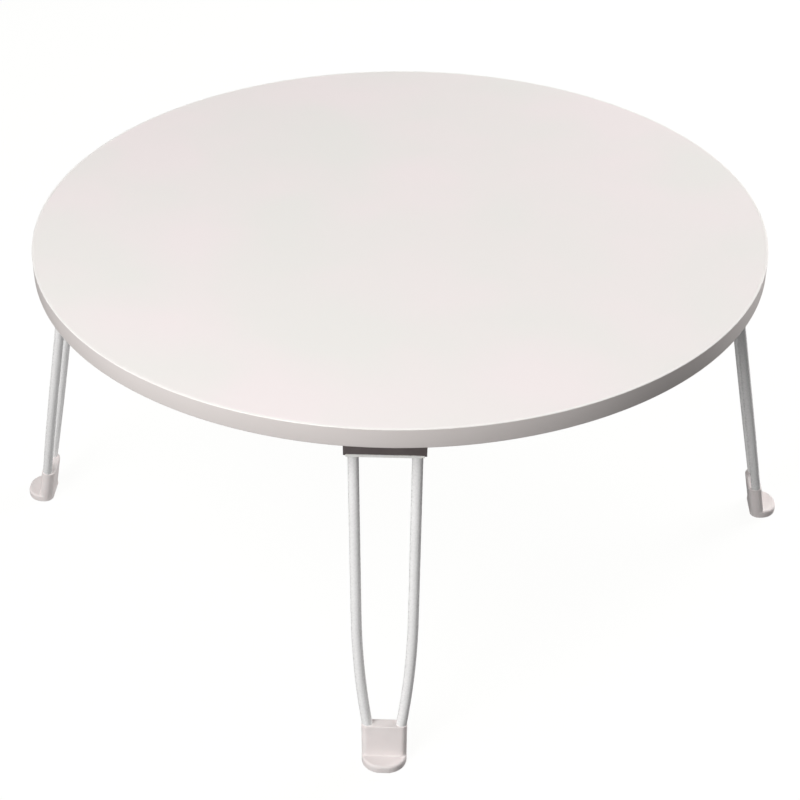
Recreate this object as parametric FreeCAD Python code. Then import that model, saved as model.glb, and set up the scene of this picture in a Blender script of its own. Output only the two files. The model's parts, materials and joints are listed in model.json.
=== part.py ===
import FreeCAD, Part
import math
import os

# Round low table with four folding legs. Each leg is one steel rod bent into a
# narrow U. Its two ends turn on a pin inside a stamped bracket under the top, and
# a plastic boot covers the bend that stands on the floor. Millimetres, +Z up, the
# floor at Z = 0 and the middle of the round top on the Z axis.

# The top, a fibreboard disc with a laminate on each face and a band round its edge
TOP_DIAMETER = 600.0
TABLE_HEIGHT = 290.0
TOP_THICKNESS = 16.0
LAMINATE_THICKNESS = 0.8
BAND_THICKNESS = 2.0
BAND_ROUNDING = 0.8

# Where each leg turns, and how far it leans out when it stands open
PIVOT_INSET = 24.5
PIVOT_DROP = 10.0
SPLAY_DEG = 10.9
LEG_TURNS = {"front": 270.0, "right": 0.0, "back": 90.0, "left": 180.0}

# The leg rod. Its sides lean apart a little at the top, bow inwards lower down
# and meet in a tight bend inside the boot.
ROD_DIAMETER = 8.0
ROD_HALF_SPACING = 23.1
ROD_TOP_LEAN_DEG = 0.77
ROD_BOW_RADIUS = 650.0
ROD_BEND_RADIUS = 10.5
ROD_FLOOR_GAP = 3.5

# The flattened eye at each end of the rod
EYE_DIAMETER = 11.0
EYE_THICKNESS = 5.2
EYE_FLAT_LENGTH = 8.0
EYE_RAMP_LENGTH = 6.0
EYE_CHAMFER = 0.6

# The hinge pin and the push nut on its end
PIN_DIAMETER = 5.0
PIN_HEAD_DIAMETER = 8.4
PIN_HEAD_HEIGHT = 1.8
PIN_HEAD_CHAMFER = 0.9
NUT_DIAMETER = 9.6
NUT_HEIGHT = 2.6
NUT_FLANGE = 0.7
NUT_CAP_DIAMETER = 7.2
NUT_CAP_CHAMFER = 0.9

# The bracket, stamped from one sheet: a plate, a front wall and two ears
SHEET = 1.5
BRACKET_DROP = 18.2
EAR_GAP = 1.1
EAR_BACK_LENGTH = 11.5
EAR_SLOPE_LENGTH = 10.5
EAR_CORNER = 4.0
PLATE_BACK_LENGTH = 32.5
PLATE_CORNER = 6.0
BEND_ROUNDING = 1.4
RELIEF_WIDTH = 0.25
RELIEF_DEPTH = 1.0
DIMPLE_RADIUS = 1.6
DIMPLE_HEIGHT = 0.4
DIMPLE_DISTANCE = 7.5
DIMPLE_TURN_DEG = 39.0

# The plastic strip that clips over the lower edge of the front wall
STRIP_THICKNESS = 0.8
STRIP_BASE = 1.0
STRIP_OUTER_HEIGHT = 1.1
STRIP_INNER_HEIGHT = 3.2

# The wood screws that hold each bracket, and their holes
SCREW_DIAMETER = 3.5
SCREW_LENGTH = 11.5
SCREW_HEAD_DIAMETER = 7.4
SCREW_CROWN_DIAMETER = 5.2
SCREW_HEAD_HEIGHT = 2.2
SCREW_HOLE_DIAMETER = 4.2
SCREW_BACK_INSET = 7.0
SCREW_BACK_SPACING = 40.0
SCREW_FRONT_OFFSET = 7.5
SCREW_FRONT_SPACING = 22.0

# The boot: a flat sleeve round the bend, and a rounded sole that sticks out in front
BOOT_HEIGHT = 31.0
BOOT_FLOOR_WIDTH = 34.0
BOOT_TOP_WIDTH = 34.8
BOOT_OUTER_WALL = 0.9
BOOT_INNER_WALL = 2.7
BOOT_OUTER_CORNER = 4.6
BOOT_INNER_CORNER = 6.4
BOOT_TOP_ROUNDING = 1.6
SOLE_WIDTH = 34.4
SOLE_DEPTH = 23.4
SOLE_THICKNESS = 6.4
SOLE_FORWARD = 3.9
SOLE_FRONT_CORNER = 15.0
SOLE_BACK_CORNER = 7.5
SOLE_ROUNDING = 1.4

# Clearances, and one overrun for every cut
RUNNING_FIT = 0.05
REST_CLEARANCE = 0.3
OVERRUN = 2.0

# Sizes that follow from the ones above
top_radius = TOP_DIAMETER / 2
core_radius = top_radius - BAND_THICKNESS
underside = TABLE_HEIGHT - TOP_THICKNESS
pivot_reach = top_radius - PIVOT_INSET
pivot_height = underside - PIVOT_DROP
splay = math.radians(SPLAY_DEG)
leg_length = pivot_height / math.cos(splay)
rod_radius = ROD_DIAMETER / 2
eye_outside = ROD_HALF_SPACING + rod_radius
eye_inside = eye_outside - EYE_THICKNESS
ear_inside = eye_outside + EAR_GAP
ear_outside = ear_inside + SHEET
wall_half_width = ear_inside - RELIEF_WIDTH
plate_bottom = underside - SHEET
wall_bottom = underside - BRACKET_DROP
strip_bottom = wall_bottom - STRIP_BASE
rod_face_at_strip = (pivot_reach + (pivot_height - strip_bottom) * math.tan(splay)
                     + rod_radius / math.cos(splay))
strip_inside = rod_face_at_strip + REST_CLEARANCE
wall_inside = strip_inside + STRIP_THICKNESS
wall_outside = wall_inside + SHEET
plate_back = pivot_reach - PLATE_BACK_LENGTH
ear_start = pivot_reach - EAR_BACK_LENGTH - EAR_SLOPE_LENGTH


def vector(x, y, z):
    return FreeCAD.Vector(x, y, z)


def cylinder_z(radius, low, high, x=0, y=0):
    return Part.makeCylinder(radius, high - low, vector(x, y, low))


def cylinder_y(radius, low, high, x, z):
    return Part.makeCylinder(radius, high - low, vector(x, low, z), vector(0, 1, 0))


def block(low, high):
    size = high - low
    return Part.makeBox(size.x, size.y, size.z, low)


def rounding_cutter(length, radius):
    """What is cut from a corner of +X and +Z, along +Y, to round its edge."""
    corner = block(vector(-radius, 0, -radius), vector(OVERRUN, length, OVERRUN))
    return corner.cut(cylinder_y(radius, 0, length, -radius, -radius))


def polygon_face(points):
    return Part.Face(Part.makePolygon(points + points[:1]))


def edges_where(shape, test):
    return [edge for edge in shape.Edges if test(edge)]


def turned(shape, degrees):
    """The shape of the leg that points along +X, turned about Z to another leg."""
    copy = shape.copy()
    copy.rotate(vector(0, 0, 0), vector(0, 0, 1), degrees)
    return copy


def leaned(shape):
    """A leg piece drawn upright round its pivot, leaned out and put in its place."""
    copy = shape.copy()
    copy.rotate(vector(0, 0, 0), vector(0, 1, 0), -SPLAY_DEG)
    copy.translate(vector(pivot_reach, 0, pivot_height))
    return copy


def screw_places():
    """Where the four screws of the bracket on +X stand, as (x, y)."""
    back = plate_back + SCREW_BACK_INSET
    front = pivot_reach - SCREW_FRONT_OFFSET
    places = []
    for side in (-1, 1):
        places.append((back, side * SCREW_BACK_SPACING / 2))
        places.append((front, side * SCREW_FRONT_SPACING / 2))
    return places


def pilot_holes():
    """The holes that every screw of every bracket leaves in the underside."""
    radius = SCREW_DIAMETER / 2 + RUNNING_FIT
    low = underside - OVERRUN
    high = underside + SCREW_LENGTH - SHEET + RUNNING_FIT
    group = Part.makeCompound([cylinder_z(radius, low, high, x, y) for x, y in screw_places()])
    return [turned(group, degrees) for degrees in LEG_TURNS.values()]


def make_core_board():
    low = underside + LAMINATE_THICKNESS
    high = TABLE_HEIGHT - LAMINATE_THICKNESS
    return cylinder_z(core_radius, low, high).cut(pilot_holes())


def make_top_laminate():
    return cylinder_z(core_radius, TABLE_HEIGHT - LAMINATE_THICKNESS, TABLE_HEIGHT)


def make_underside_laminate():
    sheet = cylinder_z(core_radius, underside, underside + LAMINATE_THICKNESS)
    return sheet.cut(pilot_holes())


def make_edge_band():
    outer = cylinder_z(top_radius, underside, TABLE_HEIGHT)
    outer = outer.makeFillet(BAND_ROUNDING, edges_where(outer, lambda edge: len(edge.Vertexes) == 1))
    return outer.cut(cylinder_z(core_radius, underside - OVERRUN, TABLE_HEIGHT + OVERRUN))


def bar(radius, start, end):
    """A round bar from one point to another."""
    return Part.makeCylinder(radius, (end - start).Length, start, end - start)


def bent_bar(radius, centre, start, degrees):
    """A round bar bent about an X axis through the centre, from its start point."""
    arm = start - centre
    ring = Part.makeCircle(radius, start, vector(1, 0, 0).cross(arm))
    section = Part.Face(Part.Wire([ring]))
    return section.revolve(centre, vector(1, 0, 0), degrees)


def rod_tube(radius):
    """The bent rod, upright in the YZ plane with the pivot at the origin."""
    lean = math.radians(ROD_TOP_LEAN_DEG)
    bend_centre = vector(0, 0, ROD_FLOOR_GAP + rod_radius + ROD_BEND_RADIUS - leg_length)
    reach = ROD_BOW_RADIUS - ROD_BEND_RADIUS
    # The bow touches both the bend and the straight run that ends at the eye.
    offset = ROD_BOW_RADIUS - bend_centre.z * math.sin(lean) - ROD_HALF_SPACING * math.cos(lean)
    start = lean + math.acos(offset / reach)
    bow_centre = bend_centre + vector(0, -math.cos(start), math.sin(start)) * reach
    bow_low = bow_centre + vector(0, math.cos(start), -math.sin(start)) * ROD_BOW_RADIUS
    bow_high = bow_centre + vector(0, math.cos(lean), -math.sin(lean)) * ROD_BOW_RADIUS
    side = [
        bar(radius, bow_high, vector(0, ROD_HALF_SPACING, 0)),
        bent_bar(radius, bow_centre, bow_low, math.degrees(start - lean)),
    ]
    other = [piece.mirror(vector(0, 0, 0), vector(0, 1, 0)) for piece in side]
    bend = bent_bar(radius, bend_centre, bow_low, math.degrees(2 * start) - 180)
    return bend.fuse(side + other).removeSplitter()


def make_leg_rod():
    rod = rod_tube(rod_radius)
    ramp_top = -EYE_FLAT_LENGTH
    ramp_foot = ramp_top - EYE_RAMP_LENGTH
    rod_inside = ROD_HALF_SPACING - ROD_DIAMETER
    outline = [
        vector(-EYE_DIAMETER, -eye_inside, EYE_DIAMETER),
        vector(-EYE_DIAMETER, -eye_inside, ramp_top),
        vector(-EYE_DIAMETER, -rod_inside, ramp_foot),
        vector(-EYE_DIAMETER, rod_inside, ramp_foot),
        vector(-EYE_DIAMETER, eye_inside, ramp_top),
        vector(-EYE_DIAMETER, eye_inside, EYE_DIAMETER),
    ]
    rod = rod.cut(polygon_face(outline).extrude(vector(EYE_DIAMETER * 2, 0, 0)))
    for low, high in ((-eye_outside, -eye_inside), (eye_inside, eye_outside)):
        eye = cylinder_y(EYE_DIAMETER / 2, low, high, 0, 0)
        eye = eye.makeChamfer(EYE_CHAMFER, edges_where(eye, lambda edge: len(edge.Vertexes) == 1))
        rod = rod.fuse(eye)
    hole = cylinder_y(PIN_DIAMETER / 2 + RUNNING_FIT, -ear_outside, ear_outside, 0, 0)
    return leaned(rod.cut(hole).removeSplitter())


def sole_outline():
    """The sole's flat wire on the floor, with two wide corners in front and two behind."""
    middle = pivot_reach + pivot_height * math.tan(splay) + SOLE_FORWARD
    front = middle + SOLE_DEPTH / 2 - SOLE_FRONT_CORNER
    back = middle - SOLE_DEPTH / 2 + SOLE_BACK_CORNER
    front_side = SOLE_WIDTH / 2 - SOLE_FRONT_CORNER
    back_side = SOLE_WIDTH / 2 - SOLE_BACK_CORNER
    corners = (
        (front, front_side, SOLE_FRONT_CORNER, 0),
        (back, back_side, SOLE_BACK_CORNER, 90),
        (back, -back_side, SOLE_BACK_CORNER, 180),
        (front, -front_side, SOLE_FRONT_CORNER, 270),
    )
    arcs = [Part.makeCircle(corner, vector(x, y, 0), vector(0, 0, 1), turn, turn + 90)
            for x, y, corner, turn in corners]
    edges = []
    for arc, following in zip(arcs, arcs[1:] + arcs[:1]):
        edges.append(arc)
        edges.append(Part.makeLine(arc.Vertexes[-1].Point, following.Vertexes[0].Point))
    return Part.Wire(edges)


def upright_at(edge, x):
    """Whether a long edge of the upright sleeve stands at the given X."""
    box = edge.BoundBox
    return box.ZLength > BOOT_HEIGHT and abs(box.Center.x - x) < rod_radius


def boot_sleeve():
    """The part of the boot round the bend, its top square to the leg, cut level at the floor."""
    top = BOOT_HEIGHT / math.cos(splay) - leg_length
    low = -leg_length - SOLE_DEPTH
    growth = (BOOT_TOP_WIDTH - BOOT_FLOOR_WIDTH) / BOOT_HEIGHT / 2
    low_width = BOOT_FLOOR_WIDTH / 2 - growth * SOLE_DEPTH
    inner = -rod_radius - BOOT_INNER_WALL
    outer = rod_radius + BOOT_OUTER_WALL
    outline = [
        vector(inner, -low_width, low),
        vector(inner, low_width, low),
        vector(inner, BOOT_TOP_WIDTH / 2, top),
        vector(inner, -BOOT_TOP_WIDTH / 2, top),
    ]
    sleeve = polygon_face(outline).extrude(vector(outer - inner, 0, 0))
    for x, corner in ((outer, BOOT_OUTER_CORNER), (inner, BOOT_INNER_CORNER)):
        sleeve = sleeve.makeFillet(corner, edges_where(sleeve, lambda edge: upright_at(edge, x)))
    edge_cutter = turned(rounding_cutter(BOOT_TOP_WIDTH, BOOT_TOP_ROUNDING), 180)
    edge_cutter.translate(vector(inner, BOOT_TOP_WIDTH / 2, top))
    reach = TOP_DIAMETER
    above_floor = block(vector(-reach, -reach, 0), vector(reach, reach, TABLE_HEIGHT))
    return leaned(sleeve.cut(edge_cutter)).common(above_floor)


def boot_sole():
    sole = Part.Face(sole_outline()).extrude(vector(0, 0, SOLE_THICKNESS))
    rim = edges_where(sole, lambda edge: edge.BoundBox.ZMin > SOLE_THICKNESS / 2)
    return sole.makeFillet(SOLE_ROUNDING, rim)


def make_foot_boot():
    boot = boot_sleeve().fuse(boot_sole())
    return boot.cut(leaned(rod_tube(rod_radius + RUNNING_FIT))).removeSplitter()


def make_hinge_pin():
    x, z = pivot_reach, pivot_height
    shank = cylinder_y(PIN_DIAMETER / 2, -ear_outside, ear_outside + NUT_HEIGHT / 2, x, z)
    head_face = -ear_outside - PIN_HEAD_HEIGHT
    head = cylinder_y(PIN_HEAD_DIAMETER / 2, head_face, -ear_outside, x, z)
    outer = edges_where(head, lambda edge: edge.BoundBox.YMax < head_face + PIN_HEAD_HEIGHT / 2)
    return shank.fuse(head.makeChamfer(PIN_HEAD_CHAMFER, outer))


def make_push_nut():
    """A flange against the ear and a closed cap over the end of the pin."""
    x, z = pivot_reach, pivot_height
    top = ear_outside + NUT_HEIGHT
    flange = cylinder_y(NUT_DIAMETER / 2, ear_outside, ear_outside + NUT_FLANGE, x, z)
    cap = cylinder_y(NUT_CAP_DIAMETER / 2, ear_outside, top, x, z)
    outer = edges_where(cap, lambda edge: edge.BoundBox.YMin > ear_outside + NUT_HEIGHT / 2)
    cap = cap.makeChamfer(NUT_CAP_CHAMFER, outer)
    socket = cylinder_y(PIN_DIAMETER / 2 + RUNNING_FIT, ear_outside - OVERRUN,
                        ear_outside + NUT_HEIGHT / 2 + RUNNING_FIT, x, z)
    return flange.fuse(cap).cut(socket)


def bracket_plate():
    plate = block(vector(plate_back, -ear_outside, plate_bottom),
                  vector(wall_outside, ear_outside, underside))

    def back_corner(edge):
        return edge.BoundBox.ZLength > SHEET / 2 and edge.BoundBox.XMax < ear_start

    return plate.makeFillet(PLATE_CORNER, edges_where(plate, back_corner))


def bend_cutters():
    """The cutters for the bends of the front wall and of both ears."""
    front = rounding_cutter(ear_outside * 2, BEND_ROUNDING)
    front.translate(vector(wall_outside, -ear_outside, underside))
    side = turned(rounding_cutter(wall_outside - ear_start, BEND_ROUNDING), 90)
    side.translate(vector(wall_outside, ear_outside, underside))
    return [front, side, side.mirror(vector(0, 0, 0), vector(0, 1, 0))]


def relief_slit(side):
    """What is cut through plate and wall to part the front wall from one ear."""
    low = min(side * wall_half_width, side * ear_inside)
    return block(vector(wall_inside - RELIEF_DEPTH, low, wall_bottom - OVERRUN),
                 vector(wall_outside + OVERRUN, low + RELIEF_WIDTH, underside + OVERRUN))


def bracket_ear(side):
    """One ear, hung from the plate beside the rod and as far out as the front wall."""
    back = pivot_reach - EAR_BACK_LENGTH
    low = min(side * ear_inside, side * ear_outside)
    outline = [
        vector(wall_outside, low, underside),
        vector(wall_outside, low, wall_bottom),
        vector(back, low, wall_bottom),
        vector(ear_start, low, plate_bottom),
        vector(ear_start, low, underside),
    ]
    ear = polygon_face(outline).extrude(vector(0, SHEET, 0))

    def back_low_corner(edge):
        box = edge.BoundBox
        return box.YLength > SHEET / 2 and box.ZMax < pivot_height and box.XMax < pivot_reach

    return ear.makeFillet(EAR_CORNER, edges_where(ear, back_low_corner))


def dimple_sphere(side, depth):
    """The ball whose cap stands out of a face by the dimple's height."""
    radius = (DIMPLE_RADIUS ** 2 + DIMPLE_HEIGHT ** 2) / (2 * DIMPLE_HEIGHT)
    turn = math.radians(DIMPLE_TURN_DEG)
    x = pivot_reach - DIMPLE_DISTANCE * math.sin(turn)
    z = pivot_height - DIMPLE_DISTANCE * math.cos(turn)
    face = depth - DIMPLE_HEIGHT + radius
    return Part.makeSphere(radius, vector(x, side * face, z))


def make_bracket():
    wall = block(vector(wall_inside, -ear_inside, wall_bottom),
                 vector(wall_outside, ear_inside, underside))
    body = bracket_plate().fuse([wall, bracket_ear(-1), bracket_ear(1)]).removeSplitter()
    body = body.cut(bend_cutters() + [relief_slit(-1), relief_slit(1)])
    for side in (-1, 1):
        inner = block(vector(plate_back, min(side * OVERRUN, side * ear_inside), wall_bottom),
                      vector(wall_inside, max(side * OVERRUN, side * ear_inside), plate_bottom))
        body = body.fuse(dimple_sphere(side, ear_inside).common(inner))
        body = body.cut(dimple_sphere(side, ear_outside))
    reach = ear_outside + OVERRUN
    holes = [cylinder_y(PIN_DIAMETER / 2 + RUNNING_FIT, -reach, reach, pivot_reach, pivot_height)]
    low, high = plate_bottom - OVERRUN, underside + OVERRUN
    holes += [cylinder_z(SCREW_HOLE_DIAMETER / 2, low, high, x, y) for x, y in screw_places()]
    return body.cut(holes)


def make_stop_strip():
    """The clip-on strip: a base, a short outer leg and a taller inner leg."""
    end = -wall_half_width
    outer_face = wall_outside + STRIP_THICKNESS
    outline = [
        vector(strip_inside, end, strip_bottom),
        vector(outer_face, end, strip_bottom),
        vector(outer_face, end, wall_bottom + STRIP_OUTER_HEIGHT),
        vector(wall_outside, end, wall_bottom + STRIP_OUTER_HEIGHT),
        vector(wall_outside, end, wall_bottom),
        vector(wall_inside, end, wall_bottom),
        vector(wall_inside, end, wall_bottom + STRIP_INNER_HEIGHT),
        vector(strip_inside, end, wall_bottom + STRIP_INNER_HEIGHT),
    ]
    return polygon_face(outline).extrude(vector(0, wall_half_width * 2, 0))


def make_screw(x, y):
    """A screw from below, its tapered head seated on the bracket's plate."""
    crown = vector(x, y, plate_bottom - SCREW_HEAD_HEIGHT)
    head = Part.makeCone(SCREW_CROWN_DIAMETER / 2, SCREW_HEAD_DIAMETER / 2, SCREW_HEAD_HEIGHT, crown)
    return head.fuse(cylinder_z(SCREW_DIAMETER / 2, plate_bottom, plate_bottom + SCREW_LENGTH, x, y))


def save(name, shape):
    shape.exportStep(os.path.join("parts", name + ".step"))


def main():
    os.makedirs("parts", exist_ok=True)
    save("core_board", make_core_board())
    save("top_laminate", make_top_laminate())
    save("underside_laminate", make_underside_laminate())
    save("edge_band", make_edge_band())
    pieces = {
        "bracket": make_bracket(),
        "stop_strip": make_stop_strip(),
        "hinge_pin": make_hinge_pin(),
        "leg_rod": make_leg_rod(),
        "foot_boot": make_foot_boot(),
    }
    for place, degrees in LEG_TURNS.items():
        for name, shape in pieces.items():
            save(name + "_" + place, turned(shape, degrees))
    nut = make_push_nut()
    save("push_nuts", Part.makeCompound([turned(nut, degrees) for degrees in LEG_TURNS.values()]))
    screws = Part.makeCompound([make_screw(x, y) for x, y in screw_places()])
    sets = [turned(screws, degrees) for degrees in LEG_TURNS.values()]
    save("bracket_screws", Part.makeCompound([solid for group in sets for solid in group.Solids]))


main()
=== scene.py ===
import json
import math

import bmesh
import bpy
from mathutils import Matrix, Vector


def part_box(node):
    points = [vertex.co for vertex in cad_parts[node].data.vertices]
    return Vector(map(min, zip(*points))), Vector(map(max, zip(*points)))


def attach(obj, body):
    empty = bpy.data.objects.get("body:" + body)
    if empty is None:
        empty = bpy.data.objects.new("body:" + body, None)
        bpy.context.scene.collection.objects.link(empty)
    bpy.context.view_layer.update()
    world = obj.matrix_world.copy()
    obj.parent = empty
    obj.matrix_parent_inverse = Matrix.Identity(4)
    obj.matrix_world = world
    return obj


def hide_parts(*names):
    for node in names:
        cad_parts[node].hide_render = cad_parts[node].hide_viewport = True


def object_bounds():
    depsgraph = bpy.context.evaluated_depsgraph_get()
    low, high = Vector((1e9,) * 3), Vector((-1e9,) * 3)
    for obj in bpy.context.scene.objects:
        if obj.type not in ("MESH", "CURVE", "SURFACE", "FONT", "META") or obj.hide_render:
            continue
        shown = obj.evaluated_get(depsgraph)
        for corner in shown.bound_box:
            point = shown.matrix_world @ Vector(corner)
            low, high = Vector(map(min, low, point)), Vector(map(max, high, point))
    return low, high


# A round white low table on four folding legs, each one a steel rod bent to a narrow U.
# Metres, +Z up, the floor at Z = 0 and the middle of the top on the Z axis.
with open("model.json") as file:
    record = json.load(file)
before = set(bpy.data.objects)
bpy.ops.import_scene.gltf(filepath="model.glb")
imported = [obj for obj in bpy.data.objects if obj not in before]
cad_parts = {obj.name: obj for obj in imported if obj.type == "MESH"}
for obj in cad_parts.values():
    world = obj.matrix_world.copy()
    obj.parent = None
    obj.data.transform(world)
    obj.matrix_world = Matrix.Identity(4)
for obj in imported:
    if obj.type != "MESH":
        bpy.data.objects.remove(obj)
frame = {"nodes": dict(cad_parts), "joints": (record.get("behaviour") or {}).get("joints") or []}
cad_low, cad_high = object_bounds()

MM = 0.001

# Each leg's turn about the Z axis, in degrees from +X
LEGS = {"front": 270.0, "right": 0.0, "back": 90.0, "left": 180.0}

# The rounding of the rim, which the painted highlight along the band's upper edge follows too
BAND_ROUNDING = 0.8 * MM


# Colours and materials

# Where a pattern's two colours begin, for a faint cloud and for a clearer one
FAINT_STOPS = (0.35, 0.65)
CLEAR_STOPS = (0.3, 0.7)
# Nearly all of a noise's values lie in this range
NOISE_RANGE = {"From Min": 0.3, "From Max": 0.7}
# The colour sockets of a Mix node, which share their names with its other ones
MIX_FACTOR, MIX_FIRST, MIX_SECOND, MIX_RESULT = 0, 6, 7, 2


def linear(hex_colour):
    """An sRGB hex colour as linear RGBA."""
    parts = [int(hex_colour[i:i + 2], 16) / 255 for i in (1, 3, 5)]
    bent = [c / 12.92 if c <= 0.04045 else ((c + 0.055) / 1.055) ** 2.4 for c in parts]
    return (*bent, 1.0)


def feed(tree, node, sockets):
    """Gives each of a node's sockets a value, or the output that it is fed by."""
    for name, value in sockets.items():
        if isinstance(value, bpy.types.NodeSocket):
            tree.links.new(value, node.inputs[name])
        else:
            node.inputs[name].default_value = value


def add(tree, kind, sockets, stops=(), **settings):
    """One more shader node, with its settings, its sockets and, on a ramp, its colour stops."""
    made = tree.nodes.new("ShaderNode" + kind)
    for name, value in settings.items():
        setattr(made, name, value)
    for number, (position, colour) in enumerate(stops):
        made.color_ramp.elements[number].position = position
        made.color_ramp.elements[number].color = linear(colour)
    feed(tree, made, sockets)
    return made


def new_material(name):
    """A material with a principled shader, as (material, node tree, shader, place)."""
    material = bpy.data.materials.new(name)
    material.use_nodes = True
    tree = material.node_tree
    shader = tree.nodes["Principled BSDF"]
    place = add(tree, "TexCoord", {}).outputs["Object"]
    return material, tree, shader, place


def melamine_laminate():
    # Melamine paper pressed on board. The press plate leaves a fine pearl grain, drawn
    # coarser than it is so that it shows. Lamps show in it as wide soft patches.
    material, tree, shader, place = new_material("melamine_laminate_pressed")
    cloud = add(tree, "TexNoise", {"Vector": place, "Scale": 1 / (140 * MM)}).outputs["Fac"]
    colour = add(tree, "ValToRGB", {"Fac": cloud},
                 stops=zip(FAINT_STOPS, ("#F9F0EF", "#F4F1ED"))).outputs["Color"]
    grain = add(tree, "TexNoise", {"Vector": place, "Scale": 1 / (1.1 * MM),
                                   "Detail": 3.0}).outputs["Fac"]
    gloss = add(tree, "MapRange", {"Value": grain, **NOISE_RANGE, "To Min": 0.34,
                                   "To Max": 0.42}).outputs["Result"]
    relief = add(tree, "Bump", {"Height": grain, "Distance": 0.02 * MM}).outputs["Normal"]
    feed(tree, shader, {"Base Color": colour, "Roughness": gloss, "Normal": relief, "IOR": 1.5})
    return material


def backing_laminate():
    # The plainer paper under the board, which keeps it from warping. It is matt and
    # slightly grey, with its grain drawn coarser than it is.
    material, tree, shader, place = new_material("backing_laminate_pressed")
    cloud = add(tree, "TexNoise", {"Vector": place, "Scale": 1 / (60 * MM)}).outputs["Fac"]
    colour = add(tree, "ValToRGB", {"Fac": cloud},
                 stops=zip(FAINT_STOPS, ("#E9E7E5", "#E4E2E0"))).outputs["Color"]
    grain = add(tree, "TexNoise", {"Vector": place, "Scale": 1 / (1.4 * MM),
                                   "Detail": 4.0}).outputs["Fac"]
    gloss = add(tree, "MapRange", {"Value": grain, **NOISE_RANGE, "To Min": 0.5,
                                   "To Max": 0.6}).outputs["Result"]
    relief = add(tree, "Bump", {"Height": grain, "Distance": 0.03 * MM}).outputs["Normal"]
    feed(tree, shader, {"Base Color": colour, "Roughness": gloss, "Normal": relief})
    return material


def edge_banding():
    # ABS strip, extruded and glued round the board. The die leaves faint lines that run round
    # the rim. Its white is greyed a little, which is painted shade on the upright rim, and its
    # upper rounded edge is painted whiter, a painted highlight where light catches the rounding.
    material, tree, shader, place = new_material("abs_edge_band_extruded")
    drawn_out = add(tree, "Mapping", {"Vector": place,
                                      "Scale": (0.02, 0.02, 1.0)}).outputs["Vector"]
    lines = add(tree, "TexNoise", {"Vector": drawn_out, "Scale": 1 / (0.9 * MM),
                                   "Detail": 3.0}).outputs["Fac"]
    cloud = add(tree, "TexNoise", {"Vector": place, "Scale": 1 / (90 * MM)}).outputs["Fac"]
    # Painted shade: the band's white is made greyer than the laminate's, standing in for the
    # shade on the upright rim
    rim_white_with_painted_shade = add(tree, "ValToRGB", {"Fac": cloud},
                stops=zip(FAINT_STOPS, ("#DED7D4", "#DAD3D0"))).outputs["Color"]
    height = add(tree, "SeparateXYZ", {"Vector": place}).outputs["Z"]
    # Painted highlight: the top of the band's rounding is mixed to a whiter colour
    painted_top_highlight = add(tree, "MapRange", {
        "Value": height, "From Min": cad_high[2] - BAND_ROUNDING,
        "From Max": cad_high[2] - BAND_ROUNDING / 2}).outputs["Result"]
    colour = add(tree, "Mix", {MIX_FACTOR: painted_top_highlight, MIX_FIRST: rim_white_with_painted_shade,
                               MIX_SECOND: linear("#F8F4F1")},
                 data_type="RGBA").outputs[MIX_RESULT]
    gloss = add(tree, "MapRange", {"Value": lines, **NOISE_RANGE, "To Min": 0.34,
                                   "To Max": 0.44}).outputs["Result"]
    relief = add(tree, "Bump", {"Height": lines, "Distance": 0.015 * MM}).outputs["Normal"]
    feed(tree, shader, {"Base Color": colour, "Roughness": gloss, "Normal": relief})
    return material


def fibreboard():
    # Pressed wood fibre, raw and brown, with short felted fibres.
    material, tree, shader, place = new_material("fibreboard_pressed")
    fibres = add(tree, "TexNoise", {"Vector": place, "Scale": 1 / (0.8 * MM), "Detail": 5.0,
                                    "Roughness": 0.7}).outputs["Fac"]
    colour = add(tree, "ValToRGB", {"Fac": fibres},
                 stops=zip(CLEAR_STOPS, ("#B08C62", "#C8A77C"))).outputs["Color"]
    relief = add(tree, "Bump", {"Height": fibres, "Distance": 0.08 * MM}).outputs["Normal"]
    feed(tree, shader, {"Base Color": colour, "Roughness": 0.9, "Normal": relief})
    return material


def rod_powder_coat():
    # White epoxy powder coat, baked on the rod. It flows to a gloss with a slight
    # orange peel.
    material, tree, shader, place = new_material("epoxy_powder_coat_white")
    cloud = add(tree, "TexNoise", {"Vector": place, "Scale": 1 / (25 * MM)}).outputs["Fac"]
    colour = add(tree, "ValToRGB", {"Fac": cloud},
                 stops=zip(FAINT_STOPS, ("#F1F0EF", "#EEEDEC"))).outputs["Color"]
    peel = add(tree, "TexNoise", {"Vector": place, "Scale": 1 / (1.6 * MM),
                                  "Detail": 1.0}).outputs["Fac"]
    gloss = add(tree, "MapRange", {"Value": peel, **NOISE_RANGE, "To Min": 0.24,
                                   "To Max": 0.32}).outputs["Result"]
    relief = add(tree, "Bump", {"Height": peel, "Distance": 0.03 * MM}).outputs["Normal"]
    feed(tree, shader, {"Base Color": colour, "Roughness": gloss, "Normal": relief})
    return material


def bracket_paint():
    # Dark grey paint, dipped over pressed steel. It dries half matt and a little uneven.
    material, tree, shader, place = new_material("dipped_paint_dark_grey")
    cloud = add(tree, "TexNoise", {"Vector": place, "Scale": 1 / (9 * MM),
                                   "Detail": 4.0}).outputs["Fac"]
    colour = add(tree, "ValToRGB", {"Fac": cloud},
                 stops=zip(CLEAR_STOPS, ("#625A59", "#6C6463"))).outputs["Color"]
    peel = add(tree, "TexNoise", {"Vector": place, "Scale": 1 / (1.2 * MM)}).outputs["Fac"]
    gloss = add(tree, "MapRange", {"Value": cloud, **NOISE_RANGE, "To Min": 0.42,
                                   "To Max": 0.55}).outputs["Result"]
    relief = add(tree, "Bump", {"Height": peel, "Distance": 0.04 * MM}).outputs["Normal"]
    feed(tree, shader, {"Base Color": colour, "Roughness": gloss, "Normal": relief})
    return material


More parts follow.
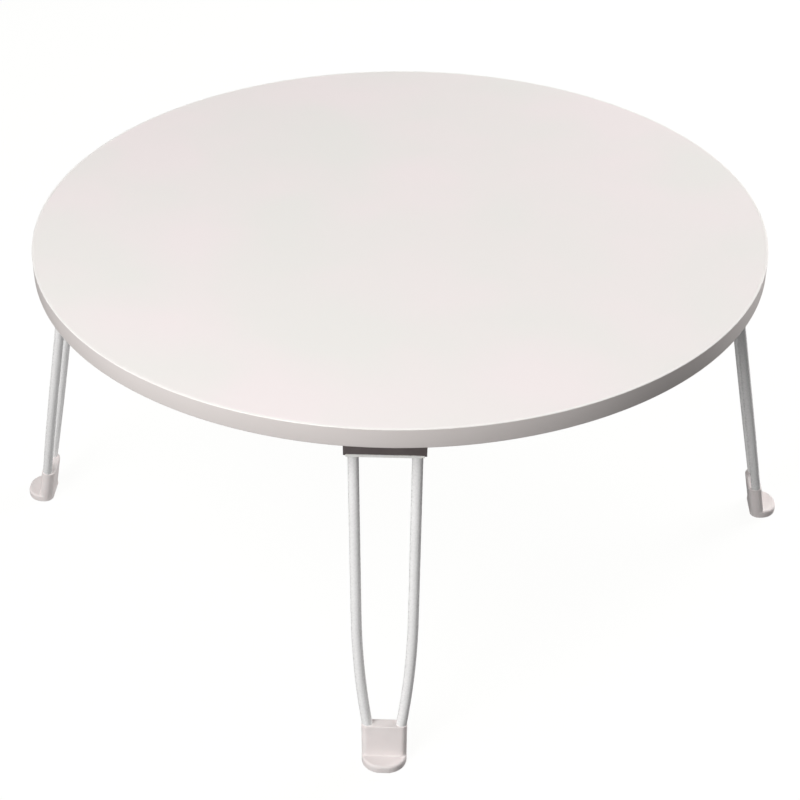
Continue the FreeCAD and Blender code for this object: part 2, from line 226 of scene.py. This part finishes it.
def zinc_plate():
    # Zinc plated steel, grey with a bluish cast and uneven gloss.
    material, tree, shader, place = new_material("zinc_plated_steel")
    cloud = add(tree, "TexNoise", {"Vector": place, "Scale": 1 / (2.5 * MM),
                                   "Detail": 4.0}).outputs["Fac"]
    colour = add(tree, "ValToRGB", {"Fac": cloud},
                 stops=zip(CLEAR_STOPS, ("#AEB3B8", "#C9CDD1"))).outputs["Color"]
    gloss = add(tree, "MapRange", {"Value": cloud, **NOISE_RANGE, "To Min": 0.25,
                                   "To Max": 0.42}).outputs["Result"]
    feed(tree, shader, {"Base Color": colour, "Roughness": gloss, "Metallic": 1.0})
    return material


def strip_nylon():
    # Natural nylon, moulded thin. Light gets a little way in, so it looks milky.
    material, tree, shader, place = new_material("nylon_natural_moulded")
    cloud = add(tree, "TexNoise", {"Vector": place, "Scale": 1 / (12 * MM)}).outputs["Fac"]
    colour = add(tree, "ValToRGB", {"Fac": cloud},
                 stops=zip(FAINT_STOPS, ("#FAF9F6", "#F6F5F1"))).outputs["Color"]
    grain = add(tree, "TexNoise", {"Vector": place, "Scale": 1 / (0.7 * MM)}).outputs["Fac"]
    relief = add(tree, "Bump", {"Height": grain, "Distance": 0.01 * MM}).outputs["Normal"]
    feed(tree, shader, {"Base Color": colour, "Roughness": 0.4, "Normal": relief,
                        "Subsurface Weight": 0.15,
                        "Subsurface Radius": (3.0 * MM, 2.8 * MM, 2.5 * MM)})
    return material


def boot_plastic():
    # Soft polyethylene, moulded. Its skin is satin with a fine spark grain, drawn coarser
    # than it is, and its white leans to pink.
    material, tree, shader, place = new_material("polyethylene_boot_moulded")
    cloud = add(tree, "TexNoise", {"Vector": place, "Scale": 1 / (14 * MM)}).outputs["Fac"]
    colour = add(tree, "ValToRGB", {"Fac": cloud},
                 stops=zip(FAINT_STOPS, ("#F0E8E6", "#ECE4E2"))).outputs["Color"]
    grain = add(tree, "TexNoise", {"Vector": place, "Scale": 1 / (0.6 * MM),
                                   "Detail": 3.0}).outputs["Fac"]
    gloss = add(tree, "MapRange", {"Value": grain, **NOISE_RANGE, "To Min": 0.42,
                                   "To Max": 0.52}).outputs["Result"]
    relief = add(tree, "Bump", {"Height": grain, "Distance": 0.02 * MM}).outputs["Normal"]
    feed(tree, shader, {"Base Color": colour, "Roughness": gloss, "Normal": relief,
                        "Subsurface Weight": 0.1,
                        "Subsurface Radius": (3.0 * MM, 2.5 * MM, 2.5 * MM)})
    return material


# Every node's finish

finishes = {
    "core_board": fibreboard(),
    "top_laminate": melamine_laminate(),
    "underside_laminate": backing_laminate(),
    "edge_band": edge_banding(),
    "bracket_": bracket_paint(),
    "stop_strip": strip_nylon(),
    "hinge_pin": zinc_plate(),
    "leg_rod": rod_powder_coat(),
    "foot_boot": boot_plastic(),
}
finishes["push_nuts"] = finishes["bracket_screws"] = finishes["hinge_pin"]


def finish_of(node_name):
    """The finish whose name is the longest start of the node's name."""
    return finishes[max((n for n in finishes if node_name.startswith(n)), key=len)]


def dress(piece, material):
    """Gives a piece one material."""
    piece.data.materials.clear()
    piece.data.materials.append(material)


for name, node in frame["nodes"].items():
    dress(node, finish_of(name))


# Pieces made again with more detail than the nodes they stand for

# Lengths under which points are one point, or stand in one place
WELD = 0.001 * MM
SAME = 0.01 * MM
# The bend at which faces shade as an edge, and the one under which they are one flat face
SHARP_ANGLE = math.radians(35)
FLAT_ANGLE = math.radians(0.5)

# The top
ROUND_STEPS = 360
BAND_ROUNDING_STEPS = 5
JOINT_CHAMFER = 0.12 * MM

# The brackets' front walls, and the strips on them
WALL_HALF_WIDTH = 27.95 * MM
SLIT_WIDTH = 0.25 * MM
SLIT_START = 281.0 * MM
SEAM = 0.02 * MM
STRIP_ROUNDING = 0.2 * MM
STRIP_ROUNDING_STEPS = 2
STRIP_EDGE_ANGLE = math.radians(40)

# The screws
SCREW_RADIUS = 3.7 * MM
SCREW_HEAD_HEIGHT = 2.2 * MM
SCREW_HEAD_SKIRT = 0.4 * MM
SCREW_CROWN_DEGREES = (25, 45, 65, 90)
SCREW_STEPS = 24
SCREW_RECESS_RADIUS = 2.0 * MM
SCREW_RECESS_DEPTH = 1.3 * MM
SCREW_RECESS_MIDDLE_SHARE = 1 / 3
SCREW_RECESS_FLOOR_SHARE = 0.6
SCREW_CROSS_HALF_ANGLE = 0.3
SCREW_TURN_DEG = 37
SCREW_BACK_INSET = 7.0 * MM
SCREW_BACK_SPACING = 40.0 * MM
SCREW_FRONT_OFFSET = 7.5 * MM
SCREW_FRONT_SPACING = 22.0 * MM

# The boots
SPLAY_DEG = 10.9
ROD_RADIUS = 4.0 * MM
BOOT_OUTER_WALL = 0.9 * MM
BOOT_INNER_WALL = 2.7 * MM
BOOT_OUTER_CORNER = 4.6 * MM
BOOT_INNER_CORNER = 6.4 * MM
BOOT_CORNER_STEPS = 8
BOOT_TOP_ROUNDING = 1.6 * MM
BOOT_TOP_DEGREES = (15, 30, 45, 60, 75)
BOOT_HEIGHT = 31.0 * MM
BOOT_FLOOR_WIDTH = 34.0 * MM
BOOT_TOP_WIDTH = 34.8 * MM
SOLE_WIDTH = 34.4 * MM
SOLE_DEPTH = 23.4 * MM
SOLE_THICKNESS = 6.4 * MM
SOLE_FRONT_CORNER = 15.0 * MM
SOLE_BACK_CORNER = 7.5 * MM
SOLE_CORNER_STEPS = 12
SOLE_ROUNDING = 1.8 * MM
SOLE_ROUNDING_STEPS = 5
BOOT_VOXEL = 0.4 * MM
BOOT_SOFTENING = 5
BOOT_SOFTENING_FACTOR = 0.5


def new_piece(name, shape, material, body, replaced):
    """Finishes a bmesh as a piece that rides on a body in place of some nodes."""
    mesh = bpy.data.meshes.new(name)
    shape.to_mesh(mesh)
    shape.free()
    mesh.shade_smooth()
    mesh.set_sharp_from_angle(angle=SHARP_ANGLE)
    piece = bpy.data.objects.new(name, mesh)
    bpy.context.scene.collection.objects.link(piece)
    dress(piece, material)
    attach(piece, body)
    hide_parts(*replaced)
    return piece


def even_shading(piece):
    """Keeps the wide faces of a piece flat to the eye."""
    piece.modifiers.new("even_shading", "WEIGHTED_NORMAL").keep_sharp = True


def turn_to_leg(shape, leg):
    """Turns a shape made for the leg on +X to another leg."""
    turn = Matrix.Rotation(math.radians(LEGS[leg]), 3, "Z")
    bmesh.ops.rotate(shape, cent=(0, 0, 0), matrix=turn, verts=shape.verts)


def round_edges(shape, width, steps, test):
    """Rounds the edges that pass a test. One step gives a chamfer."""
    chosen = [edge for edge in shape.edges if test(edge)]
    bmesh.ops.bevel(shape, geom=chosen, offset=width, offset_type="OFFSET", affect="EDGES",
                    segments=steps, profile=0.5, material=-1, clamp_overlap=True)


def on_ring(edge, radius, height):
    """Whether an edge lies on a circle about the Z axis."""
    ends = [vert.co for vert in edge.verts]
    return all(abs(end.xy.length - radius) < SAME and abs(end.z - height) < SAME for end in ends)


def make_edge_band():
    """The band, turned fine enough that its rim is round at any zoom."""
    low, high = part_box("edge_band")
    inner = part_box("top_laminate")[1].x
    shape = bmesh.new()
    corners = [(inner, low.z), (high.x, low.z), (high.x, high.z), (inner, high.z)]
    verts = [shape.verts.new((x, 0, z)) for x, z in corners]
    edges = [shape.edges.new((verts[i - 1], verts[i])) for i in range(len(verts))]
    bmesh.ops.spin(shape, geom=verts + edges, cent=(0, 0, 0), axis=(0, 0, 1),
                   angle=2 * math.pi, steps=ROUND_STEPS, use_merge=True)
    bmesh.ops.recalc_face_normals(shape, faces=shape.faces)
    round_edges(shape, BAND_ROUNDING, BAND_ROUNDING_STEPS,
                lambda edge: on_ring(edge, high.x, low.z) or on_ring(edge, high.x, high.z))
    round_edges(shape, JOINT_CHAMFER, 1, lambda edge: on_ring(edge, inner, high.z))
    new_piece("rim_band", shape, finishes["edge_band"], "tabletop",
              ["edge_band"])


def make_top_face():
    """The laminate of the top, with the fine joint that it leaves inside the band."""
    low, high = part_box("top_laminate")
    shape = bmesh.new()
    bmesh.ops.create_cone(shape, cap_ends=True, segments=ROUND_STEPS, radius1=high.x,
                          radius2=high.x, depth=high.z - low.z)
    bmesh.ops.translate(shape, vec=(0, 0, (high.z + low.z) / 2), verts=shape.verts)
    round_edges(shape, JOINT_CHAMFER, 1, lambda edge: on_ring(edge, high.x, high.z))
    new_piece("top_face", shape, finishes["top_laminate"], "tabletop",
              ["top_laminate"])


def whole_copy(node_name):
    """A node's own shape with its flat faces made whole."""
    shape = bmesh.new()
    shape.from_mesh(frame["nodes"][node_name].data)
    bmesh.ops.remove_doubles(shape, verts=shape.verts, dist=WELD)
    bmesh.ops.dissolve_limit(shape, angle_limit=FLAT_ANGLE, verts=shape.verts,
                             edges=shape.edges)
    return shape


def stands_at(edge, x):
    """Whether a long edge of the upright sleeve stands at the given X."""
    low, high = (vert.co for vert in edge.verts)
    upright = abs(low.z - high.z) > BOOT_HEIGHT
    return upright and abs(low.x - x) < SAME and abs(high.x - x) < SAME


def cut_off(shape, point, outward):
    """Cuts away all that lies beyond a plane, and closes the cut."""
    cut = bmesh.ops.bisect_plane(shape, geom=shape.verts[:] + shape.edges[:] + shape.faces[:],
                                 plane_co=point, plane_no=outward, clear_outer=True)
    rim = [item for item in cut["geom_cut"] if isinstance(item, bmesh.types.BMEdge)]
    bmesh.ops.edgeloop_fill(shape, edges=rim)


def make_bracket(leg):
    """The bracket with the slits beside its front wall all but closed, as paint leaves them."""
    node = "bracket_" + leg
    shape = whole_copy(node)
    turn = math.radians(LEGS[leg])
    outward = Vector((math.cos(turn), math.sin(turn), 0))
    along = Vector((-math.sin(turn), math.cos(turn), 0))
    for vert in shape.verts:
        side = vert.co.dot(along)
        if vert.co.dot(outward) > SLIT_START and abs(abs(side) - WALL_HALF_WIDTH) < SAME:
            vert.co += along * math.copysign(SLIT_WIDTH - SEAM, side)
    even_shading(new_piece("stamped_" + node, shape, finishes["bracket_"], "tabletop",
                           [node]))


def make_strip(leg):
    """The strip clipped to the front wall, its edges softened as a mould leaves them."""
    node = "stop_strip_" + leg
    shape = whole_copy(node)
    round_edges(shape, STRIP_ROUNDING, STRIP_ROUNDING_STEPS,
                lambda edge: edge.is_manifold and edge.calc_face_angle() > STRIP_EDGE_ANGLE)
    even_shading(new_piece("moulded_" + node, shape, finishes["stop_strip"], "tabletop",
                           [node]))


def screw_head():
    """A pan head with a cross recess, face down, its seat at the origin."""
    shape = bmesh.new()
    middle_radius = SCREW_RECESS_RADIUS * SCREW_RECESS_MIDDLE_SHARE
    profile = [(x, -SCREW_HEAD_HEIGHT) for x in (0, middle_radius, SCREW_RECESS_RADIUS)]
    for degrees in SCREW_CROWN_DEGREES:
        sine, cosine = math.sin(math.radians(degrees)), math.cos(math.radians(degrees))
        profile.append((SCREW_RECESS_RADIUS + (SCREW_RADIUS - SCREW_RECESS_RADIUS) * sine,
                        -SCREW_HEAD_SKIRT - (SCREW_HEAD_HEIGHT - SCREW_HEAD_SKIRT) * cosine))
    profile += [(SCREW_RADIUS, 0), (0, 0)]
    verts = [shape.verts.new((x, 0, z)) for x, z in profile]
    edges = [shape.edges.new(pair) for pair in zip(verts, verts[1:])]
    bmesh.ops.spin(shape, geom=verts + edges, cent=(0, 0, 0), axis=(0, 0, 1),
                   angle=2 * math.pi, steps=SCREW_STEPS, use_merge=True)
    bmesh.ops.remove_doubles(shape, verts=shape.verts, dist=WELD)
    bmesh.ops.recalc_face_normals(shape, faces=shape.faces)

    def in_cross(face):
        """Whether a face of the flat crown lies in the cross."""
        if any(vert.co.z > SAME - SCREW_HEAD_HEIGHT for vert in face.verts):
            return False
        middle = face.calc_center_median()
        across = min(abs(middle.x), abs(middle.y))
        return (middle.xy.length < middle_radius
                or across < middle.xy.length * math.sin(SCREW_CROSS_HALF_ANGLE))

    cross = [face for face in shape.faces if in_cross(face)]
    made = bmesh.ops.extrude_face_region(shape, geom=cross)["geom"]
    floor = [item for item in made if isinstance(item, bmesh.types.BMVert)]
    bmesh.ops.translate(shape, vec=(0, 0, SCREW_RECESS_DEPTH), verts=floor)
    narrowing = (SCREW_RECESS_FLOOR_SHARE, SCREW_RECESS_FLOOR_SHARE, 1)
    bmesh.ops.scale(shape, vec=narrowing, verts=floor)
    return shape


def make_screws():
    """All sixteen screws, each turned a little differently, as a hand drives them."""
    whole = bmesh.new()
    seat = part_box("bracket_screws")[0].z + SCREW_HEAD_HEIGHT
    head = bpy.data.meshes.new("screw_head")
    one = screw_head()
    one.to_mesh(head)
    one.free()
    pivot = Vector(frame["joints"][0]["pos_m"]).xy.length
    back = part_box("bracket_right")[0].x + SCREW_BACK_INSET
    front = pivot - SCREW_FRONT_OFFSET
    places = []
    for side in (-1, 1):
        places.append((back, side * SCREW_BACK_SPACING / 2))
        places.append((front, side * SCREW_FRONT_SPACING / 2))
    for step, degrees in enumerate(LEGS.values()):
        for index, (x, y) in enumerate(places):
            driven = math.radians(SCREW_TURN_DEG * (len(places) * step + index))
            place = (Matrix.Rotation(math.radians(degrees), 4, "Z")
                     @ Matrix.Translation((x, y, seat)) @ Matrix.Rotation(driven, 4, "Z"))
            known = len(whole.verts)
            whole.from_mesh(head)
            whole.verts.ensure_lookup_table()
            bmesh.ops.transform(whole, matrix=place, verts=whole.verts[known:])
    bpy.data.meshes.remove(head)
    new_piece("pan_head_screws", whole, finishes["bracket_screws"], "tabletop",
              ["bracket_screws"])


def boot_sleeve(shape, pivot):
    """The flat sleeve of the leg on +X, its top square to the leg, cut level at the floor."""
    inner = -ROD_RADIUS - BOOT_INNER_WALL
    outer = ROD_RADIUS + BOOT_OUTER_WALL
    splay = math.radians(SPLAY_DEG)
    length = pivot.z / math.cos(splay)
    widening = (BOOT_TOP_WIDTH - BOOT_FLOOR_WIDTH) / BOOT_HEIGHT
    height = BOOT_HEIGHT / math.cos(splay)
    for vert in bmesh.ops.create_cube(shape, size=1.0)["verts"]:
        above = height if vert.co.z > 0 else -SOLE_DEPTH
        width = BOOT_FLOOR_WIDTH + widening * above
        vert.co = Vector((outer if vert.co.x > 0 else inner, math.copysign(width / 2, vert.co.y),
                          above - length))
    round_edges(shape, BOOT_OUTER_CORNER, BOOT_CORNER_STEPS,
                lambda edge: stands_at(edge, outer))
    round_edges(shape, BOOT_INNER_CORNER, BOOT_CORNER_STEPS,
                lambda edge: stands_at(edge, inner))
    centre = Vector((inner + BOOT_TOP_ROUNDING, 0, height - length - BOOT_TOP_ROUNDING))
    for degrees in BOOT_TOP_DEGREES:
        outward = Vector((-math.sin(math.radians(degrees)), 0, math.cos(math.radians(degrees))))
        cut_off(shape, centre + outward * BOOT_TOP_ROUNDING, outward)
    lean = Matrix.Rotation(-splay, 3, "Y")
    bmesh.ops.rotate(shape, cent=(0, 0, 0), matrix=lean, verts=shape.verts)
    bmesh.ops.translate(shape, vec=(pivot.x, 0, pivot.z), verts=shape.verts)
    cut_off(shape, Vector((0, 0, 0)), Vector((0, 0, -1)))


def boot_sole(shape, front):
    """The rounded sole of the leg on +X."""
    known = set(shape.verts)
    bmesh.ops.create_grid(shape, x_segments=1, y_segments=1, size=0.5)
    verts = [vert for vert in shape.verts if vert not in known]
    for vert in verts:
        vert.co = Vector((front if vert.co.x > 0 else front - SOLE_DEPTH,
                          math.copysign(SOLE_WIDTH / 2, vert.co.y), 0))
    for corner, at_front in ((SOLE_FRONT_CORNER, True), (SOLE_BACK_CORNER, False)):
        chosen = [vert for vert in verts if vert.is_valid
                  and (vert.co.x > front - SOLE_DEPTH / 2) == at_front]
        bmesh.ops.bevel(shape, geom=chosen, offset=corner, offset_type="OFFSET",
                        affect="VERTICES", segments=SOLE_CORNER_STEPS, profile=0.5,
                        material=-1)
    faces = [face for face in shape.faces if not known.intersection(face.verts)]
    made = bmesh.ops.extrude_face_region(shape, geom=faces, use_keep_orig=True)["geom"]
    top = [item for item in made if isinstance(item, bmesh.types.BMVert)]
    bmesh.ops.translate(shape, vec=(0, 0, SOLE_THICKNESS), verts=top)
    rim = set(top)
    round_edges(shape, SOLE_ROUNDING, SOLE_ROUNDING_STEPS,
                lambda edge: rim.issuperset(edge.verts) and len(edge.link_faces) == 2)


def boot_mesh():
    """The boot of the leg on +X as one soft moulded skin, with no sharp edge anywhere."""
    joint = next(joint for joint in frame["joints"] if joint["child"] == "leg_right")
    shape = bmesh.new()
    boot_sleeve(shape, Vector(joint["pos_m"]))
    boot_sole(shape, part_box("foot_boot_right")[1].x)
    bmesh.ops.recalc_face_normals(shape, faces=shape.faces)
    mesh = bpy.data.meshes.new("boot_blank")
    shape.to_mesh(mesh)
    shape.free()
    blank = bpy.data.objects.new("boot_blank", mesh)
    bpy.context.scene.collection.objects.link(blank)
    skin = blank.modifiers.new("skin", "REMESH")
    skin.mode = "VOXEL"
    skin.voxel_size = BOOT_VOXEL
    soft = blank.modifiers.new("soft", "SMOOTH")
    soft.factor = BOOT_SOFTENING_FACTOR
    soft.iterations = BOOT_SOFTENING
    bpy.context.view_layer.update()
    depsgraph = bpy.context.evaluated_depsgraph_get()
    finished = bpy.data.meshes.new_from_object(blank.evaluated_get(depsgraph))
    bpy.data.objects.remove(blank)
    return finished


def make_boots():
    """The same boot on each leg."""
    boot = boot_mesh()
    for leg in LEGS:
        shape = bmesh.new()
        shape.from_mesh(boot)
        turn_to_leg(shape, leg)
        new_piece("moulded_boot_" + leg, shape, finishes["foot_boot"], "leg_" + leg,
                  ["foot_boot_" + leg])


make_edge_band()
make_top_face()
make_screws()
make_boots()
for leg in LEGS:
    make_bracket(leg)
    make_strip(leg)


# Floor, light and camera

STUDIO_RADIUS = 9.0
STUDIO_STEPS = 96
PAPER_GLOW = 0.95
FILL_STRENGTH = 0.168

# Each softbox: its name, place, aim, width in metres, power in watts and whether it is mirrored
SOFTBOXES = (
    ("key", (-0.93, -1.53, 0.86), (0, -0.1, 0.15), 0.75, 17.8, False),
    ("high_left", (-1.35, -1.4, 2.7), (0, 0, 0.2), 1.6, 39.0, True),
    ("high_right", (0.9, 1.2, 2.6), (0, 0, 0.2), 1.6, 23.0, True),
    ("low_right", (1.5, 1.0, 0.5), (0, 0, 0.1), 0.8, 29.0, False),
)

# The camera as it was fitted to the outline of the top and the feet in the photo
CAMERA_PLACE = (0.0474, -1.2751, 0.9820)
CAMERA_TILT_DEG = 55.635
CAMERA_TURN_DEG = 2.13
CAMERA_LENS_MM = 78.62
CAMERA_SENSOR_MM = 36.0


def make_studio():
    """A white floor inside a wide white drum, which keeps the horizon out of low views."""
    mesh = bpy.data.meshes.new("studio_floor")
    shape = bmesh.new()
    bmesh.ops.create_cone(shape, cap_ends=True, segments=STUDIO_STEPS,
                          radius1=STUDIO_RADIUS, radius2=STUDIO_RADIUS, depth=STUDIO_RADIUS)
    bmesh.ops.translate(shape, vec=(0, 0, STUDIO_RADIUS / 2), verts=shape.verts)
    shape.to_mesh(mesh)
    shape.free()
    studio = bpy.data.objects.new("studio_floor", mesh)
    bpy.context.scene.collection.objects.link(studio)
    # Matt white paper, which glows by itself, so it stays near white and shows only a
    # faint shadow.
    material = bpy.data.materials.new("white_paper_sweep")
    material.use_nodes = True
    tree = material.node_tree
    tree.nodes.clear()
    paper = add(tree, "BsdfDiffuse", {"Color": linear("#484848")}).outputs["BSDF"]
    glow = add(tree, "Emission", {"Color": linear("#FFFFFE"),
                                  "Strength": PAPER_GLOW}).outputs["Emission"]
    both = add(tree, "AddShader", {0: paper, 1: glow}).outputs["Shader"]
    add(tree, "OutputMaterial", {"Surface": both})
    mesh.materials.append(material)
    studio.visible_diffuse = False
    studio.visible_glossy = False
    studio.visible_shadow = False


def softbox(name, place, aim, size, power, mirrored):
    """A round softbox. A low one isn't mirrored, or it would glare across the whole top."""
    lamp = bpy.data.lights.new(name, "AREA")
    lamp.shape = "DISK"
    lamp.size = size
    lamp.energy = power
    holder = bpy.data.objects.new(name, lamp)
    holder.location = place
    holder.rotation_euler = (Vector(aim) - Vector(place)).to_track_quat("-Z", "Y").to_euler()
    holder.visible_camera = False
    holder.visible_glossy = mirrored
    bpy.context.scene.collection.objects.link(holder)


def make_world():
    """An even fill, as white walls and a white floor give."""
    world = bpy.data.worlds.new("studio_fill")
    bpy.context.scene.world = world
    world.use_nodes = True
    tree = world.node_tree
    tree.nodes.clear()
    fill = add(tree, "Background", {"Color": linear("#FFFFFF"), "Strength": FILL_STRENGTH})
    add(tree, "OutputWorld", {"Surface": fill.outputs["Background"]})


def make_camera():
    """The photo's camera."""
    lens = bpy.data.cameras.new("camera")
    lens.lens = CAMERA_LENS_MM
    lens.sensor_width = CAMERA_SENSOR_MM
    camera = bpy.data.objects.new("camera", lens)
    camera.location = CAMERA_PLACE
    camera.rotation_euler = (math.radians(CAMERA_TILT_DEG), 0.0, math.radians(CAMERA_TURN_DEG))
    bpy.context.scene.collection.objects.link(camera)
    bpy.context.scene.camera = camera


make_studio()
make_world()
for box in SOFTBOXES:
    softbox(*box)
make_camera()
bpy.context.scene.view_settings.view_transform = "Standard"
